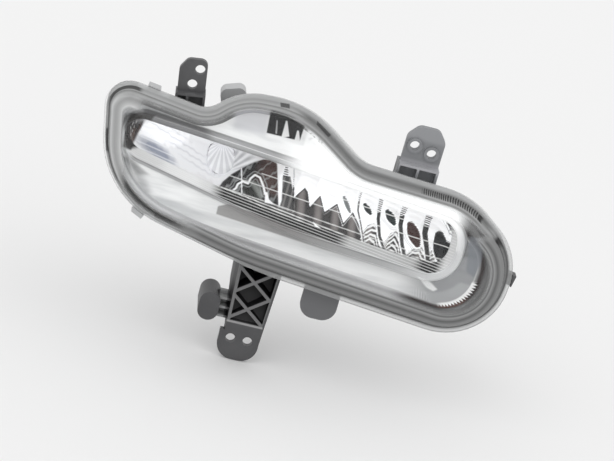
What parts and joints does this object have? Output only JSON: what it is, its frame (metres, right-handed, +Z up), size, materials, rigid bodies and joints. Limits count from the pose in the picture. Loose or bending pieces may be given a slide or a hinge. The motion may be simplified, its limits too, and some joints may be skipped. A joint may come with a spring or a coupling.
{
  "type": "daytime running light",
  "caption": "Front bumper lamp with a clear humped lens, a long rounded ring around a fluted reflector, and a grey housing with fixing tabs.",
  "frame": {"origin": "midway between the two holes of the lower bracket, on its seating face", "axes": "+X to the right as seen from the front, +Y from the front to the back of the lamp, +Z up"},
  "size_m": [0.2514, 0.0912, 0.1717],
  "materials": {
    "housing_plastic": "moulded, satin",
    "lens_clear": "clear, polished",
    "sealant": "soft",
    "bezel_silver": "satin silver",
    "reflector_bright": "metallised, mirror bright",
    "screw_steel": "zinc plated",
    "bulb_clear": "clear",
    "wire_metal": "drawn",
    "holder_plastic": "moulded, matt",
    "seal_rubber": "soft",
    "terminal_brass": "stamped",
    "cap_rubber": "soft",
    "membrane_cloth": "felted"
  },
  "bodies": {
    "root": {"housing": "housing_plastic", "lens": "lens_clear", "lens_seal": "sealant", "bezel": "bezel_silver", "reflector": "reflector_bright", "reflector_screws": "screw_steel", "bulb_glass": "bulb_clear", "bulb_filament": "wire_metal", "bulb_leads": "wire_metal", "bulb_holder": "holder_plastic", "holder_seal": "seal_rubber", "live_terminal": "terminal_brass", "ground_terminal": "terminal_brass", "vent_cap": "cap_rubber", "vent_membrane": "membrane_cloth"}
  },
  "joints": []
}
